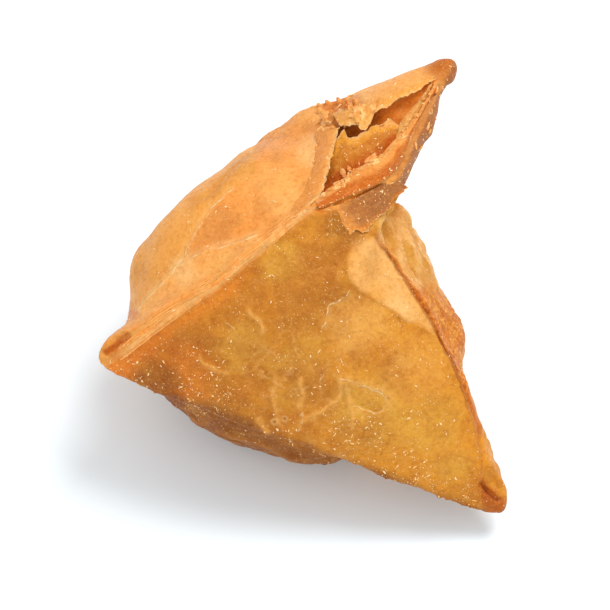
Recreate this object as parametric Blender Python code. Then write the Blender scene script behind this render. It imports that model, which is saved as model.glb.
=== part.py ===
"""A fried samosa: a folded pastry case with three horns over a round filled belly.

The case is laid out in its own frame, in millimetres, with the middle of the
belly as origin: u runs to the right, v runs up the triangular front panel and
w points out of it. Four panels hang between folded edges, the filling swells
them from inside, and the whole then leans back and stands pressed flat.
"""

from math import atan2, cos, pi, radians, sin, sqrt

import bmesh
import bpy
from mathutils import Vector

MM = 0.001

# How it stands
LEAN_DEG = 55.0  # the front panel's outward axis, above the horizon
CENTRE_HEIGHT = 27.5  # middle of the belly above the ground
CENTRE_PLACE = (-2.2, 1.2)  # and beside the middle of the whole case

# The filled belly: its outline every 30 degrees from u towards v, then its depths
BELLY_OUTLINE = (34.4, 31.8, 32.0, 35.4, 33.6, 35.2, 35.8, 35.6, 34.4, 34.8, 37.2, 38.6)
BELLY_FRONT = 22.0
BELLY_BACK = 29.5
BELLY_SQUARENESS = 2.3
SWELL_SHARPNESS = 16.0  # how tightly the panels wrap the belly

# The three horn tips round the front panel, and the blunt corner behind
CORNERS = {
    "left": (-43.0, -11.8, 13.5),
    "right": (47.4, -46.4, 7.0),
    "top": (36.0, 53.8, 9.0),
    "back": (-6.0, 13.5, -29.5),
}

# Folded edges from corner to corner, through the points between them
EDGES = {
    ("left", "top"): (
        (-41.0, -8.6, 15.0),
        (-36.0, -6.0, 17.5),
        (-26.0, -1.2, 21.5),
        (-11.5, 8.4, 25.5),
        (1.8, 17.6, 27.5),
        (11.8, 23.4, 27.0),
        (19.5, 29.6, 24.5),
        (24.6, 34.8, 21.5),
        (29.0, 42.5, 17.0),
        (34.2, 50.8, 11.5),
    ),
    ("right", "top"): (
        (46.5, -40.5, 8.5),
        (42.5, -32.0, 11.0),
        (39.4, -21.5, 13.5),
        (36.0, -12.9, 15.5),
        (30.6, -1.8, 18.0),
        (24.0, 8.9, 20.5),
        (20.2, 16.8, 22.0),
        (25.0, 25.3, 18.0),
        (27.6, 32.6, 14.5),
        (32.2, 42.0, 11.0),
        (36.2, 50.0, 8.5),
    ),
    ("left", "right"): (
        (-42.0, -15.0, 13.5),
        (-36.0, -17.4, 14.5),
        (-28.2, -21.0, 16.5),
        (-7.1, -28.6, 17.5),
        (12.9, -35.8, 14.5),
        (30.6, -42.8, 10.5),
        (42.0, -47.2, 7.5),
    ),
    ("left", "back"): (
        (-42.0, -11.0, 10.0),
        (-37.5, -8.0, 4.0),
        (-32.0, -1.0, -8.0),
        (-20.0, 7.0, -21.0),
    ),
    ("right", "back"): (
        (47.2, -41.0, 4.5),
        (44.6, -34.5, 0.5),
        (39.6, -25.0, -5.0),
        (31.0, -14.0, -12.0),
        (12.0, 2.0, -24.0),
    ),
    ("top", "back"): (
        (31.0, 53.4, 5.5),
        (24.0, 50.8, 4.0),
        (6.2, 43.8, -1.0),
        (-7.5, 35.0, -9.0),
        (-9.5, 26.0, -20.0),
    ),
}
PANELS = (
    ("left", "right", "top"),
    ("left", "top", "back"),
    ("right", "top", "back"),
    ("left", "right", "back"),
)
PANEL_ROWS = 34
BASE_PULL = 2  # how late a panel's rows turn from its apex's sides to its base
# How round each horn's sides are, as a share of their width, and how far down that lasts
HORN_FULLNESS = {"left": 0.12, "right": 0.1, "top": 0.26, "back": 0.0}
HORN_REACH = 0.65

# The burst seam of the top horn: a boat-shaped hollow
TEAR_PATH = (
    (7.5, 26.0, 21.5),
    (13.5, 33.5, 19.5),
    (21.0, 40.5, 17.5),
    (31.0, 48.8, 14.0),
)
TEAR_HALF_WIDTH = 4.4
TEAR_HALF_DEPTH = 7.5
# The nicks where the folds meet at the other two tips
LEFT_NICK_PATH = ((-42.2, -10.6, 15.6), (-39.5, -8.6, 17.0), (-36.0, -6.6, 18.4))
RIGHT_NICK_PATH = ((43.0, -37.0, 11.0), (45.0, -40.0, 10.0), (47.5, -43.5, 8.0))
NICK_HALF_WIDTH = 0.9
NICK_HALF_DEPTH = 1.8
CUTTER_STATIONS = 16
CUTTER_SIDES = 12
CUTTER_BLUNTNESS = 0.7  # 1 is a pointed boat, less is blunter

CURVE_STEPS = 24  # points on a curve between two given ones
MERGE_DISTANCE = 0.05 * MM

CRUST_COLOUR = (0.62, 0.27, 0.065, 1.0)
CRUST_ROUGHNESS = 0.5


def clear_scene():
    for obj in list(bpy.data.objects):
        bpy.data.objects.remove(obj)


def crust_material():
    material = bpy.data.materials.new("fried_crust")
    material.use_nodes = True
    shader = material.node_tree.nodes["Principled BSDF"]
    shader.inputs["Base Color"].default_value = CRUST_COLOUR
    shader.inputs["Roughness"].default_value = CRUST_ROUGHNESS
    shader.inputs["Metallic"].default_value = 0.0
    return material


def cubic(before, start, end, after, t):
    """Catmull-Rom between start and end; works on numbers and vectors."""
    return 0.5 * (
        2 * start
        + (end - before) * t
        + (2 * before - 5 * start + 4 * end - after) * t**2
        + (3 * start - before - 3 * end + after) * t**3
    )


def even_curve(points, count):
    """count + 1 evenly spaced points on a smooth curve through the given ones."""
    points = [Vector(point) for point in points]
    ends = [2 * points[0] - points[1], *points, 2 * points[-1] - points[-2]]
    path = []
    for near in zip(ends, ends[1:], ends[2:], ends[3:]):
        path.extend(cubic(*near, step / CURVE_STEPS) for step in range(CURVE_STEPS))
    path.append(points[-1])
    run = [0.0]
    for a, b in zip(path, path[1:]):
        run.append(run[-1] + (b - a).length)
    even = []
    at = 0
    for k in range(count + 1):
        target = run[-1] * k / count
        while at < len(path) - 2 and run[at + 1] < target:
            at += 1
        share = (target - run[at]) / (run[at + 1] - run[at])
        even.append(path[at].lerp(path[at + 1], share))
    return even


def folded_edge(start, end):
    """The edge between two corners as evenly spaced points, in either direction."""
    if (start, end) in EDGES:
        points = (CORNERS[start], *EDGES[start, end], CORNERS[end])
        return even_curve(points, PANEL_ROWS)
    return list(reversed(folded_edge(end, start)))


def at_share(curve, share):
    """The point that share of the way along an edge."""
    place = share * PANEL_ROWS
    low = min(int(place), PANEL_ROWS - 1)
    return curve[low].lerp(curve[low + 1], place - low)


def horn_bulge(corner, near, far, share, slide):
    """How a panel rounds out near a corner: share runs from 0 at the tip, slide across."""
    start = at_share(near, share)
    end = at_share(far, share)
    chord = end - start
    axis = Vector(CORNERS[corner]).normalized()
    out = chord.cross(axis).normalized()
    if out.dot(start + end) < out.dot(axis) * (start + end).dot(axis):
        out.negate()
    fade = max(0.0, 1 - (share / HORN_REACH) ** 2) ** 2
    return out * chord.length * HORN_FULLNESS[corner] * 4 * slide * (1 - slide) * fade


def panel_rows(apex, left, right):
    """A triangular grid between three edges, as rows widening from the apex."""
    to_left = folded_edge(apex, left)
    to_right = folded_edge(apex, right)
    across = folded_edge(left, right)
    # each corner, its two edges, and the places in weights of itself and of its far edge's end
    horns = (
        (apex, to_left, to_right, 0, 2),
        (left, to_left[::-1], across, 1, 2),
        (right, to_right[::-1], across[::-1], 2, 1),
    )
    rows = []
    for row in range(PANEL_ROWS + 1):
        fall = row / PANEL_ROWS
        line = []
        for column in range(row + 1):
            slide = column / row if row else 0.0
            weights = (1 - fall, fall * (1 - slide), fall * slide)
            sag = at_share(across, slide) - across[0].lerp(across[-1], slide)
            point = to_left[row].lerp(to_right[row], slide) + sag * fall**BASE_PULL
            for corner, near, far, own, other in horns:
                share = 1 - weights[own]
                if share > 0:
                    point += horn_bulge(corner, near, far, share, weights[other] / share)
            line.append(point)
        rows.append(line)
    return rows


def belly_outline(azimuth):
    count = len(BELLY_OUTLINE)
    place = (azimuth / (2 * pi)) % 1.0 * count
    index = int(place)
    near = [BELLY_OUTLINE[(index + k) % count] for k in (-1, 0, 1, 2)]
    return cubic(*near, place - index)


def belly_radius(direction):
    """How far the filled belly reaches in a direction."""
    depth = BELLY_FRONT if direction.z > 0 else BELLY_BACK
    across = sqrt(direction.x**2 + direction.y**2) / belly_outline(atan2(direction.y, direction.x))
    through = abs(direction.z) / depth
    power = BELLY_SQUARENESS
    return (across**power + through**power) ** (-1 / power)


def swell(point):
    """Push a point of the empty case out over the filling."""
    power = SWELL_SHARPNESS
    belly = belly_radius(point.normalized())
    return point.normalized() * (point.length**power + belly**power) ** (1 / power)


def stand(point):
    """A point of the leaning case as it stands, pressed flat on the ground."""
    lean = radians(LEAN_DEG)
    height = point.y * cos(lean) + point.z * sin(lean) + CENTRE_HEIGHT
    depth = point.y * sin(lean) - point.z * cos(lean)
    along, aside = CENTRE_PLACE
    return Vector((point.x + along, depth + aside, max(height, 0.0))) * MM


def link_mesh(name, mesh):
    bmesh.ops.remove_doubles(mesh, verts=mesh.verts, dist=MERGE_DISTANCE)
    bmesh.ops.recalc_face_normals(mesh, faces=mesh.faces)
    data = bpy.data.meshes.new(name)
    mesh.to_mesh(data)
    mesh.free()
    obj = bpy.data.objects.new(name, data)
    bpy.context.scene.collection.objects.link(obj)
    return obj


def samosa_case():
    mesh = bmesh.new()
    for corners in PANELS:
        rows = [
            [mesh.verts.new(stand(swell(point))) for point in line]
            for line in panel_rows(*corners)
        ]
        for upper, lower in zip(rows, rows[1:]):
            for k in range(len(upper)):
                mesh.faces.new((upper[k], lower[k], lower[k + 1]))
            for k in range(len(upper) - 1):
                mesh.faces.new((upper[k], lower[k + 1], upper[k + 1]))
    case = link_mesh("samosa", mesh)
    case.data.shade_smooth()
    case.data.materials.append(crust_material())
    return case


def boat_cutter(name, path, half_width, half_depth):
    """A cutter along a path, swelling from a point and closing to a point again."""
    middles = even_curve(path, CUTTER_STATIONS)
    out = Vector((0, 0, 1))
    mesh = bmesh.new()
    rings = []
    for station in range(1, CUTTER_STATIONS):
        along = middles[station + 1] - middles[station - 1]
        across = along.cross(out).normalized()
        fullness = sin(pi * station / CUTTER_STATIONS) ** CUTTER_BLUNTNESS
        ring = []
        for k in range(CUTTER_SIDES):
            turn = 2 * pi * k / CUTTER_SIDES
            offset = across * half_width * cos(turn) + out * half_depth * sin(turn)
            ring.append(mesh.verts.new(stand(middles[station] + offset * fullness)))
        rings.append(ring)
    start = mesh.verts.new(stand(middles[0]))
    end = mesh.verts.new(stand(middles[-1]))
    for k in range(CUTTER_SIDES):
        after = (k + 1) % CUTTER_SIDES
        mesh.faces.new((start, rings[0][k], rings[0][after]))
        mesh.faces.new((end, rings[-1][after], rings[-1][k]))
        for near, far in zip(rings, rings[1:]):
            mesh.faces.new((near[k], far[k], far[after], near[after]))
    cutter = link_mesh(name, mesh)
    cutter.hide_render = True
    cutter.display_type = "WIRE"
    return cutter


def cut(case, cutter):
    boolean = case.modifiers.new(cutter.name, "BOOLEAN")
    boolean.operation = "DIFFERENCE"
    boolean.solver = "EXACT"
    boolean.object = cutter


def main():
    clear_scene()
    case = samosa_case()
    cut(case, boat_cutter("tear_cutter", TEAR_PATH, TEAR_HALF_WIDTH, TEAR_HALF_DEPTH))
    cut(case, boat_cutter("left_nick_cutter", LEFT_NICK_PATH, NICK_HALF_WIDTH, NICK_HALF_DEPTH))
    cut(case, boat_cutter("right_nick_cutter", RIGHT_NICK_PATH, NICK_HALF_WIDTH, NICK_HALF_DEPTH))


main()
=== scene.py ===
from itertools import product
from math import cos, pi, radians, sin
from types import SimpleNamespace

import bmesh
import bpy
import numpy as np
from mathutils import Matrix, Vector
from mathutils.bvhtree import BVHTree


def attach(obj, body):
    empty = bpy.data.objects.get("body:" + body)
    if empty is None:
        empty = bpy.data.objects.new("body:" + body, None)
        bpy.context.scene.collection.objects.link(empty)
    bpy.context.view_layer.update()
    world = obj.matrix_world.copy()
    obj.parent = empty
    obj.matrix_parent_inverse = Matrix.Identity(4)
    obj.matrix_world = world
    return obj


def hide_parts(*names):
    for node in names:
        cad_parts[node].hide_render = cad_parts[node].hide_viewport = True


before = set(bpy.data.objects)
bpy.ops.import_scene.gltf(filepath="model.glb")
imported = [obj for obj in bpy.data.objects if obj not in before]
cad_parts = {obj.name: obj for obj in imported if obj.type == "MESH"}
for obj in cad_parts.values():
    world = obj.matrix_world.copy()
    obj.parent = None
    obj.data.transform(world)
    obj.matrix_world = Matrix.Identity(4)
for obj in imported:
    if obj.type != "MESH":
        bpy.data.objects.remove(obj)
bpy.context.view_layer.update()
print("frame loaded:", len(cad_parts), "node")

# The samosa's own frame, in mm: u to the right, v up the front panel, w out of it
lean = radians(55)
bellyMiddle = np.array((-2.2, 1.2, 27.5))
caseAxes = np.array(((1, 0, 0), (0, sin(lean), cos(lean)), (0, -cos(lean), sin(lean))))
farFront = 45.0  # w of a plane in front of all the crust, and of one behind it
farBehind = -60.0
farOff = 9.0  # stands for any distance too far to matter


def toWorld(points):
    return (np.asarray(points, float) @ caseAxes + bellyMiddle) / 1000


def toCase(points):
    return (np.asarray(points, float) * 1000 - bellyMiddle) @ caseAxes.T


outward = Vector(caseAxes[2])
inward = Vector(toWorld((0, 0, -1)) - toWorld((0, 0, 0)))


def smoothCurve(points, steps=8):
    points = np.asarray(points, float)
    ends = np.vstack((2 * points[0] - points[1], points, 2 * points[-1] - points[-2]))
    path = []
    for k in range(len(points) - 1):
        a, b, c, d = ends[k:k + 4]
        for t in np.arange(steps) / steps:
            path.append(0.5 * (2 * b + (c - a) * t + (2 * a - 5 * b + 4 * c - d) * t**2
                               + (3 * b - a - 3 * c + d) * t**3))
    return np.array(path + [points[-1]])


def evenCurve(points, count):
    path = smoothCurve(points, 24)
    run = np.r_[0, np.cumsum(np.linalg.norm(np.diff(path, axis=0), axis=1))]
    targets = np.linspace(0, run[-1], count)
    return np.stack([np.interp(targets, run, path[:, k]) for k in range(path.shape[1])], 1)


def runLength(points):
    return np.linalg.norm(np.diff(np.asarray(points, float), axis=0), axis=1).sum()


def lumps(points, size, seed):
    # smooth noise from -1 to 1, with features about size mm across
    lattice = np.random.default_rng(seed).uniform(-1, 1, (24, 24, 24))
    spots = np.asarray(points, float) / size
    low = np.floor(spots).astype(int)
    share = spots - low
    share = share * share * (3 - 2 * share)
    total = np.zeros(len(spots))
    for corner in product((0, 1), repeat=3):
        weight = np.prod(np.where(corner, share, 1 - share), axis=1)
        i, j, k = ((low + corner) % 24).T
        total += weight * lattice[i, j, k]
    return total


def bubbles(points, size, seed, fill):
    # domes from 0 to 1 about size mm apart, with some left out
    draw = np.random.default_rng(seed)
    shift = draw.uniform(0.15, 0.85, (16, 16, 16, 3))
    radius = draw.uniform(0.25, 0.62, (16, 16, 16))
    radius[draw.random((16, 16, 16)) > fill] = 0.01
    spots = np.asarray(points, float) / size
    low = np.floor(spots).astype(int)
    total = np.zeros(len(spots))
    for corner in product((-1, 0, 1), repeat=3):
        cell = low + corner
        i, j, k = (cell % 16).T
        gap = np.linalg.norm(spots - cell - shift[i, j, k], axis=1) / radius[i, j, k]
        total = np.maximum(total, np.clip(1 - gap * gap, 0, 1))
    return total


def ease(value, low, high):
    share = np.clip((value - low) / (high - low), 0, 1)
    return share * share * (3 - 2 * share)


def ridge(distance, width):
    return np.exp(-(distance / width) ** 2)


# Noises over the crust, each a sum of lumps: share, size in mm and seed
waves = {
    "drift": ((1.1, 6.0, 31), (0.6, 2.6, 32), (0.3, 1.1, 33)),
    "wobble": ((0.35, 3.0, 11), (0.22, 1.2, 12)),
    "frayed": ((0.3, 1.6, 46), (0.35, 3.4, 47)),
    "shade": ((1, 3.6, 39), (0.5, 1.7, 40)),
    "cluster": ((1, 2.8, 44), (0.6, 1.3, 45)),
    "soft": ((1, 9.0, 35),),
    "yellowFace": ((1, 8.0, 36),),
    "paleFace": ((1, 5.0, 37),),
    "dusted": ((1, 4.0, 38),),
    "seamWander": ((0.03, 3.0, 48),),
    "seamBreaks": ((1, 4.0, 49),),
    "backFry": ((1, 14.0, 34),),
    "fryGrain": ((1, 0.9, 62),),
    "browned": ((1, 1.8, 69),),
    "upperPale": ((1, 2.2, 67),),
    "beyond": ((1, 1.6, 67),),
    "under": ((1, 1.5, 68),),
    "hollow": ((1, 1.2, 66),),
}
# Domes over the crust: size in mm, seed, and the share of them that rise
domes = {
    "fry": (1.9, 61, 0.7),
    "rim": (1.7, 63, 0.55),
    "belly": (3.2, 64, 0.35),
    "pocks": (1.9, 65, 0.85),
}


def wave(name, points):
    return sum(share * lumps(points, size, seed) for share, size, seed in waves[name])


def fromLine(line, uv, reach=7.0, steps=6):
    # distance to a line over the front, positive on its left, and the share along it; a point
    # further than reach away gets a rough distance and no share
    path = smoothCurve(line, steps)
    rough = smoothCurve(line, 1)
    run = np.r_[0, np.cumsum(np.linalg.norm(np.diff(path, axis=0), axis=1))]
    low, high = path.min(axis=0) - reach, path.max(axis=0) + reach
    close = np.all((uv > low) & (uv < high), axis=1)
    distance = np.empty(len(uv))
    share = np.zeros(len(uv))
    for points, chosen in ((path, close), (rough, ~close)):
        spots = uv[chosen]
        best = np.full(len(spots), 1e9)
        side = np.ones(len(spots))
        at = np.zeros(len(spots))
        for k in range(len(points) - 1):
            start, step = points[k], points[k + 1] - points[k]
            gap = spots - start
            t = np.clip(gap @ step / (step @ step), 0, 1)
            gap -= t[:, None] * step
            square = gap[:, 0]**2 + gap[:, 1]**2
            nearer = np.flatnonzero(square < best)
            best[nearer] = square[nearer]
            side[nearer] = np.where(step[0] * gap[nearer, 1] - step[1] * gap[nearer, 0] < 0, -1, 1)
            if points is path:
                at[nearer] = (run[k] + t[nearer] * (run[k + 1] - run[k])) / run[-1]
        distance[chosen] = np.sqrt(best) * side
        share[chosen] = at
    return distance, share


def nearSpot(uv, u, v, reach):
    return 1 - ease(np.hypot(uv[:, 0] - u, uv[:, 1] - v), 0.35 * reach, reach)


def newObject(name, data):
    obj = bpy.data.objects.new(name, data)
    bpy.context.scene.collection.objects.link(obj)
    return obj


def settle(obj):
    # what the modifiers make becomes the mesh
    bpy.context.view_layer.update()
    made = bpy.data.meshes.new_from_object(obj.evaluated_get(bpy.context.evaluated_depsgraph_get()))
    obj.modifiers.clear()
    obj.data = made
    made.name = obj.name


def readMesh(mesh):
    places = np.empty(len(mesh.vertices) * 3, np.float32)
    normals = np.empty(len(mesh.vertices) * 3, np.float32)
    mesh.vertices.foreach_get("co", places)
    mesh.vertices.foreach_get("normal", normals)
    return places.reshape(-1, 3).astype(float), normals.reshape(-1, 3).astype(float)


def writeMark(mesh, name, values):
    mark = mesh.attributes.new(name, "FLOAT", "POINT")
    mark.data.foreach_set("value", np.clip(values, 0, 1).astype(np.float32))


def writeEdge(mesh, kind, distance, shown):
    # distance to a layer's edge in mm, kept from 0 to 1 with the edge at 0.5, and how much it shows
    writeMark(mesh, kind + "Edge", 0.5 + distance / 4)
    writeMark(mesh, kind + "Near", shown)


def writeFlow(mesh, places):
    # places along and across the grain of the dough, for streaks
    flow = mesh.attributes.new("flow", "FLOAT_VECTOR", "POINT")
    flow.data.foreach_set("vector", np.asarray(places, np.float32).ravel())


def writeTone(mesh, colours):
    tone = mesh.attributes.new("tone", "FLOAT_COLOR", "POINT")
    full = np.c_[np.clip(colours, 0, 1), np.ones(len(colours))]
    tone.data.foreach_set("color", full.astype(np.float32).ravel())


# Tones of the crust, in linear colour
tones = {
    "cream": (0.88, 0.54, 0.22),
    "paleLayer": (0.86, 0.44, 0.13),
    "roof": (0.78, 0.35, 0.09),
    "peach": (0.76, 0.285, 0.055),
    "peachYellow": (0.76, 0.33, 0.06),
    "seam": (0.88, 0.34, 0.062),
    "softPale": (0.74, 0.36, 0.075),
    "oliveDark": (0.40, 0.22, 0.03),
    "brightOrange": (0.80, 0.235, 0.020),
    "olive": (0.64, 0.32, 0.040),
    "gold": (0.66, 0.265, 0.021),
    "panel": (0.50, 0.174, 0.012),
    "panelBrown": (0.44, 0.155, 0.016),
    "orange": (0.62, 0.17, 0.010),
    "deepOrange": (0.54, 0.118, 0.006),
    "pink": (0.335, 0.108, 0.027),
    "bellyBrown": (0.25, 0.070, 0.004),
    "bellyGold": (0.58, 0.225, 0.026),
    # a brighter red painted into the shaded mouth as a painted glow
    "paintedGlow": (0.74, 0.20, 0.014),
    "red": (0.62, 0.135, 0.008),
    # dark: used only for a painted shadow in the notch under horn A
    "dark": (0.20, 0.04, 0.003),
    "tipBrown": (0.43, 0.105, 0.004),
    "leafGold": (0.49, 0.155, 0.008),
    "leafDeep": (0.45, 0.092, 0.002),
}


def mixTone(colours, name, share):
    share = np.clip(share, 0, 1)[:, None]
    return colours * (1 - share) + np.array(tones[name]) * share


crust = {
    "voxel": 0.36,  # mm between the fine mesh's points
    "quickVoxel": 0.7,
    "smoothing": 8,
    "mostTriangles": 190000,
    "lumps": ((0.50, 11.0, 3), (0.24, 4.2, 5), (0.10, 1.6, 7)),  # height and width in mm, and seed
}

# The torn mouth of the top horn: its two sides from the foot to the tip, at floor height, in mm
mouth = {
    "roofSide": ((6.0, 24.6, 18.0), (6.6, 29.0, 14.0), (7.6, 33.4, 10.6), (9.4, 37.4, 9.2),
                 (12.4, 39.2, 9.6), (15.6, 39.4, 10.2), (17.8, 41.3, 10.8), (21.0, 43.2, 11.2),
                 (25.4, 45.5, 11.4), (28.6, 47.3, 11.6), (31.4, 49.3, 12.0)),
    "lipSide": ((6.6, 23.4, 18.0), (8.6, 25.2, 16.0), (11.2, 27.1, 14.2), (14.6, 29.5, 13.2),
                (17.4, 31.0, 13.0), (20.0, 32.6, 13.9), (22.6, 35.6, 14.3), (25.0, 38.4, 13.6),
                (27.0, 41.4, 13.0), (29.3, 45.0, 12.5), (31.6, 48.9, 12.0)),
    "seeds": {"roofSide": 41, "lipSide": 42, "floor": 43},
    "rows": 60,
    "columns": 12,
    "rag": 0.35,
    "ragSize": 1.4,
    "floorLumps": (0.5, 2.5),  # height and size
    "top": 40.0,
    "wall": 1.7,  # crust left behind the mouth's floor, and how much of it is built up at most
    "builtUp": 1.4,
    "seat": 0.05,
}


def mouthSides():
    sides = []
    for name in ("roofSide", "lipSide"):
        side = evenCurve(mouth[name], mouth["rows"])
        for axis in (0, 1):
            side[:, axis] += mouth["rag"] * lumps(side, mouth["ragSize"], mouth["seeds"][name] + 10 * axis)
        sides.append(side)
    return sides


def mouthCutter(behind):
    # the body cut out for the mouth, and the wall kept under its floor
    roofSide, lipSide = mouthSides()
    across = np.linspace(0, 1, mouth["columns"])[None, :, None]
    floor = roofSide[:, None] * (1 - across) + lipSide[:, None] * across
    height, size = mouth["floorLumps"]
    rolling = height * lumps(floor.reshape(-1, 3), size, mouth["seeds"]["floor"])
    floor[..., 2] += rolling.reshape(floor.shape[:2])
    for place in floor.reshape(-1, 3):
        hit = behind.ray_cast(Vector(toWorld((place[0], place[1], farBehind))), outward)[0]
        if hit:
            place[2] = max(place[2], toCase(np.array(hit))[2] + mouth["wall"])
    top = floor.copy()
    top[..., 2] = mouth["top"]
    wall = floor - (0, 0, mouth["seat"])
    return (shellBetween("mouth_cutter", top, floor),
            shellBetween("mouth_floor", wall, wall - (0, 0, mouth["builtUp"])))


def shellBetween(name, upper, lower):
    # a closed body between two grids of the same size
    rows, columns = upper.shape[:2]
    shape = bmesh.new()
    grids = []
    for grid in (upper, lower):
        world = toWorld(grid.reshape(-1, 3)).reshape(grid.shape)
        grids.append([[shape.verts.new(place) for place in row] for row in world])
    over, under = grids
    for i in range(rows - 1):
        for j in range(columns - 1):
            shape.faces.new((over[i][j], over[i][j + 1], over[i + 1][j + 1], over[i + 1][j]))
            shape.faces.new((under[i][j], under[i + 1][j], under[i + 1][j + 1], under[i][j + 1]))
    rim = ([(0, j) for j in range(columns - 1)] + [(i, columns - 1) for i in range(rows - 1)]
           + [(rows - 1, j) for j in range(columns - 1, 0, -1)] + [(i, 0) for i in range(rows - 1, 0, -1)])
    for (i, j), (m, n) in zip(rim, rim[1:] + rim[:1]):
        shape.faces.new((over[i][j], under[i][j], under[m][n], over[m][n]))
    bmesh.ops.recalc_face_normals(shape, faces=shape.faces)
    mesh = bpy.data.meshes.new(name)
    shape.to_mesh(mesh)
    shape.free()
    return newObject(name, mesh)


# Lines over the front, in mm: folds, layer edges and peelings. A layer rises on one side of its
# line (side 1 is the left as the line runs) and eases back over reach; a groove runs beside it.
# A tint is a tone, its share and its width, laid beside the line; in a groove it is painted shade.
foldLines = {
    "wedge": {"line": ((-35.7, -3.1), (-32.2, 0.4), (-28.2, 4.9), (-25.3, 7.8), (-21.1, 10.4), (-16.0, 12.2),
                       (-10.4, 13.8), (-6.0, 14.9)),
              "side": -1, "rise": 0.85, "reach": 5.0, "rim": 0.7, "tint": ("cream", 0.35, 0.5)},
    "layerEdge": {"line": ((-29.1, 3.1), (-26.6, 6.6), (-23.8, 10.4), (-21.5, 14.9), (-18.2, 20.4),
                           (-15.5, 22.6), (-12.0, 25.5)),
                  "side": -1, "rise": 0.26, "reach": 5.0, "rim": 0.7, "tint": ("paleLayer", 0.35, 0.6)},
    "softCrease": {"line": ((-3.1, 37.1), (-11.5, 30.4), (-18.2, 23.5), (-23.5, 21.3)),
                   "side": 1, "rise": 0.3, "reach": 6.0, "groove": 0.25, "tint": ("panel", 0.35, 1.2)},
    "waistEdge": {"line": ((17.3, 14.9), (21.8, 9.3), (26.2, 2.7), (30.6, -4.4), (35.1, -12.9),
                           (38.0, -20.5), (39.6, -24.8), (41.0, -29.0), (41.5, -34.0), (41.7, -38.0),
                           (42.0, -41.4)),
                  "side": -1, "rise": 0.7, "reach": 3.0, "groove": 0.7, "crease": 0.6,
                  "tint": ("deepOrange", 0.5, 0.5)},
    "slit": {"line": ((41.4, -40.4), (43.4, -42.3), (46.0, -44.8)),
             "side": -1, "rise": 0.5, "reach": 1.6, "groove": 0.7, "crease": 0.8, "tint": ("red", 0.3, 0.5)},
    "peel": {"line": ((6.6, -6.2), (7.3, -4.4), (8.2, -1.1), (10.2, 0.0), (12.9, 2.7)),
             "side": 1, "rise": 0.2, "reach": 3.0, "rim": 0.9, "tint": ("softPale", 0.6, 0.6)},
    "paleEdge": {"line": ((12.9, 13.8), (12.0, 8.9), (12.9, 4.4), (16.6, 1.6), (20.6, -0.7), (24.0, -3.3),
                          (27.3, -5.1)),
                 "side": 1, "rise": 0.3, "reach": 4.0},
    "flake": {"line": ((12.9, -17.8), (20.6, -20.6), (20.6, -23.3), (18.4, -24.4), (12.9, -22.9)),
              "side": -1, "rise": -0.28, "reach": 3.0, "rim": 0.6, "tint": ("softPale", 0.5, 0.7)},
    "gap": {"line": ((4.6, 19.6), (7.0, 20.7), (10.7, 22.0), (14.2, 23.4), (17.3, 24.9), (20.4, 26.5)),
            "side": 1, "rise": 0.3, "reach": 2.0, "groove": 0.4, "crease": 0.4,
            "tint": ("orange", 0.9, 0.9)},
    "fold": {"line": ((22.4, 26.6), (25.5, 31.2), (27.6, 36.4), (30.2, 42.2), (33.7, 48.8)),
             "side": -1, "rise": 0.5, "reach": 2.0, "groove": 0.4, "tint": ("pink", 0.5, 0.8)},
    "leftPinch": {"line": ((-42.0, -11.5), (-39.6, -9.4), (-36.0, -6.4)),
                  "side": 1, "rise": 0.35, "reach": 1.5, "groove": 0.9, "crease": 0.25,
                  "tint": ("red", 0.85, 0.9)},
    "bellyRidge": {"line": ((22.2, 19.3), (24.0, 13.8), (26.2, 6.7), (29.5, 2.7)),
                   "side": 1, "rise": 0.6, "reach": 2.5, "rim": 0.5, "tint": ("cream", 0.4, 0.6)},
    "bellyFold": {"line": ((24.8, 22.6), (27.2, 17.4), (28.4, 12.6), (31.6, 7.4), (33.4, 2.0)),
                  "side": -1, "rise": 0.6, "reach": 2.0, "rim": 0.5, "tint": ("cream", 0.4, 0.6)},
    "flakeTop": {"line": ((5.0, -22.0), (6.4, -20.0), (6.2, -17.6), (8.0, -14.6)),
                 "side": 1, "rise": 0.15, "reach": 2.0, "rim": 0.4},
    "flakeMiddle": {"line": ((9.6, -17.0), (12.8, -17.4), (15.8, -18.6), (19.4, -19.4)),
                    "side": 1, "rise": 0.16, "reach": 2.0, "rim": 0.5, "tint": ("softPale", 0.4, 0.6)},
    "flakeLeft": {"line": ((-14.4, -4.6), (-13.2, -5.6), (-12.6, -6.8), (-11.4, -8.4)),
                  "side": 1, "rise": 0.15, "reach": 1.0, "rim": 0.7},
    "flakeFoot": {"line": ((1.6, -25.2), (2.6, -24.4), (2.2, -26.4), (1.5, -28.8)),
                  "side": 1, "rise": 0.15, "reach": 1.0, "rim": 0.6},
}
# Soft wrinkles on the panel, and small burst blisters: u, v and radius in mm
wrinkles = (
    ((-4.7, -14.2), (-3.3, -17.3), (-4.2, -20.6), (-3.1, -24.6), (-2.2, -28.9)),
    ((10.0, -15.5), (10.6, -18.5), (9.4, -22.0), (6.0, -24.5), (2.0, -26.5), (1.4, -29.4)),
    ((1.5, -16.0), (2.2, -20.0), (1.6, -24.0)),
    ((-7.6, -25.0), (-6.6, -27.4), (-4.6, -29.4)),
    ((12.8, -15.0), (12.0, -20.0), (13.6, -25.0), (12.4, -29.0)),
    ((-21.0, -12.0), (-18.0, -14.6), (-13.0, -15.8)),
    ((-10.0, -1.0), (-7.0, -4.0), (-6.4, -8.0)),
)
burstBlisters = ((-3.8, -26.4, 0.55), (-1.6, -25.8, 0.5))
seamLines = {
    "low": ((-38.6, -13.0), (-36.6, -11.8), (-29.3, -6.2), (-20.4, 0.0), (-16.0, 2.7), (-10.4, 7.8),
            (-6.0, 11.1), (-0.4, 16.0), (4.5, 19.6)),
    "high": ((-37.4, -8.2), (-35.5, -6.2), (-28.2, -1.1), (-20.4, 3.8), (-13.8, 8.2), (-8.9, 12.2),
             (-4.4, 15.5), (-0.4, 18.9), (4.0, 22.0)),
}
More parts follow.
